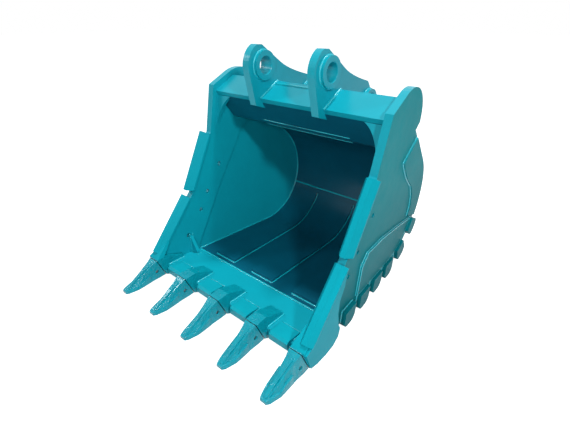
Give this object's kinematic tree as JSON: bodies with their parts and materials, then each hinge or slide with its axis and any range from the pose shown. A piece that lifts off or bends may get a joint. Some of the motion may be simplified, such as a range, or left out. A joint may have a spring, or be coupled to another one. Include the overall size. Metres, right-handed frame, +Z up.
{
  "type": "excavator rock bucket",
  "caption": "Heavy-duty excavator bucket with pinned teeth, lip and heel shrouds, side protectors and two bored mounting ears.",
  "frame": {"origin": "middle of the stick pin's axis, half way between the two ears", "axes": "+X across the bucket along the pins, +Y from the teeth to the heel, +Z up as it stands on its teeth and wear strips"},
  "size_m": [1.1514, 1.448, 1.2239],
  "materials": {
    "teal_paint": "satin teal paint",
    "inner_paint": "satin teal paint",
    "tooth_paint": "teal paint over cast steel",
    "lock_pin_steel": "turned steel"
  },
  "bodies": {
    "bucket": {"side_bar_left": "teal_paint", "side_bar_right": "teal_paint", "side_plate_left": "teal_paint", "side_plate_right": "teal_paint", "floor_plate": "inner_paint", "back_plate": "inner_paint", "top_plate": "inner_paint", "torque_plate": "inner_paint", "lip_plate": "teal_paint", "ear_left": "teal_paint", "ear_right": "teal_paint", "stick_boss_left": "teal_paint", "stick_boss_right": "teal_paint", "link_boss_left": "teal_paint", "link_boss_right": "teal_paint", "mouth_gusset_left": "teal_paint", "mouth_gusset_right": "teal_paint", "lip_gusset_left": "teal_paint", "lip_gusset_right": "teal_paint", "floor_liners": "inner_paint", "bottom_wear_strips": "teal_paint", "adapter_1": "teal_paint", "adapter_2": "teal_paint", "adapter_3": "teal_paint", "adapter_4": "teal_paint", "adapter_5": "teal_paint", "tip_1": "tooth_paint", "tip_2": "tooth_paint", "tip_3": "tooth_paint", "tip_4": "tooth_paint", "tip_5": "tooth_paint", "lip_shroud_1": "teal_paint", "lip_shroud_2": "teal_paint", "lip_shroud_3": "teal_paint", "lip_shroud_4": "teal_paint", "upper_guard_left": "teal_paint", "upper_guard_right": "teal_paint", "lower_guard_left": "teal_paint", "lower_guard_right": "teal_paint", "heel_shrouds_left": "teal_paint", "heel_shrouds_right": "teal_paint", "side_wear_plate_left": "teal_paint", "side_wear_plate_right": "teal_paint", "rear_doubler_left": "teal_paint", "rear_doubler_right": "teal_paint"},
    "lock_pin_1": {"lock_pin_1": "lock_pin_steel"},
    "lock_pin_2": {"lock_pin_2": "lock_pin_steel"},
    "lock_pin_3": {"lock_pin_3": "lock_pin_steel"},
    "lock_pin_4": {"lock_pin_4": "lock_pin_steel"},
    "lock_pin_5": {"lock_pin_5": "lock_pin_steel"}
  },
  "joints": [
    {"name": "lock_pin_1_slide", "type": "slide", "parent": "bucket", "child": "lock_pin_1", "axis": [-1, 0, 0], "range_m": [0, 0.11]},
    {"name": "lock_pin_2_slide", "type": "slide", "parent": "bucket", "child": "lock_pin_2", "axis": [1, 0, 0], "range_m": [0, 0.11]},
    {"name": "lock_pin_3_slide", "type": "slide", "parent": "bucket", "child": "lock_pin_3", "axis": [1, 0, 0], "range_m": [0, 0.11]},
    {"name": "lock_pin_4_slide", "type": "slide", "parent": "bucket", "child": "lock_pin_4", "axis": [1, 0, 0], "range_m": [0, 0.11]},
    {"name": "lock_pin_5_slide", "type": "slide", "parent": "bucket", "child": "lock_pin_5", "axis": [1, 0, 0], "range_m": [0, 0.11]}
  ]
}
